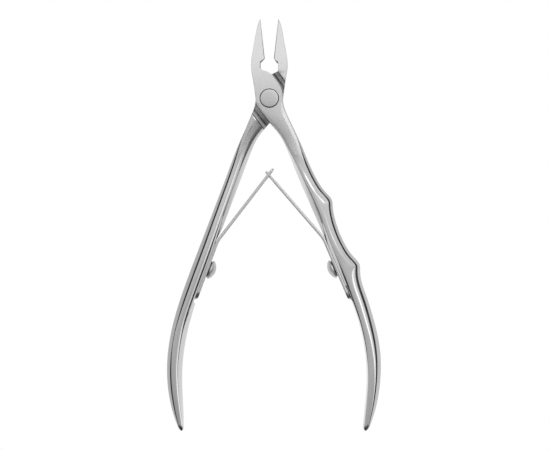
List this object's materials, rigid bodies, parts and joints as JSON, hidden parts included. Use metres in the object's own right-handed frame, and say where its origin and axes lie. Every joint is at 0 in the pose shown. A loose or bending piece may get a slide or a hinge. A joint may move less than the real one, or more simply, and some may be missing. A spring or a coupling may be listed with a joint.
{
  "type": "cuticle nipper",
  "caption": "Steel nail and cuticle nipper: long pointed jaws, riveted lap joint, curved handles and crossing leaf springs that hold it open.",
  "frame": {"origin": "where the pivot axis meets the flat back face of the lap joint", "axes": "+Z along the pivot axis out of the front face, +Y to the jaw tips, +X to the handle with the finger stops"},
  "size_m": [0.0652, 0.1248, 0.0064],
  "materials": {
    "lever_steel": "fine satin on the jaws and joint, polished on the handles",
    "rivet_steel": "ground flush, satin",
    "spring_steel": "bright rolled strip",
    "screw_steel": "turned, bright"
  },
  "bodies": {
    "back_lever": {"back_lever": "lever_steel", "pivot_rivet": "rivet_steel", "left_spring_foot": "spring_steel", "left_spring_screw": "screw_steel"},
    "front_lever": {"front_lever": "lever_steel", "right_spring_foot": "spring_steel", "right_spring_screw": "screw_steel"},
    "left_spring": {"left_spring_blade": "spring_steel"},
    "right_spring": {"right_spring_blade": "spring_steel"}
  },
  "joints": [
    {"name": "pivot", "type": "hinge", "parent": "back_lever", "child": "front_lever", "pos_m": [0, 0, 0.0032], "axis": [0, 0, -1], "range_deg": [0, 12.8], "stiffness_Nm_per_rad": 4, "springref_deg": -5.73},
    {"name": "left_spring_flex", "type": "hinge", "parent": "back_lever", "child": "left_spring", "pos_m": [-0.0157, -0.0433, 0.0032], "axis": [0, 0, 1], "range_deg": [0, 7.4]},
    {"name": "right_spring_flex", "type": "hinge", "parent": "front_lever", "child": "right_spring", "pos_m": [0.01645, -0.04245, 0.0032], "axis": [0, 0, -1], "range_deg": [0, 6.4]}
  ],
  "couplings": [
    {"joint": "left_spring_flex", "follows": "pivot", "ratio": 0.57},
    {"joint": "right_spring_flex", "follows": "pivot", "ratio": 0.49}
  ]
}
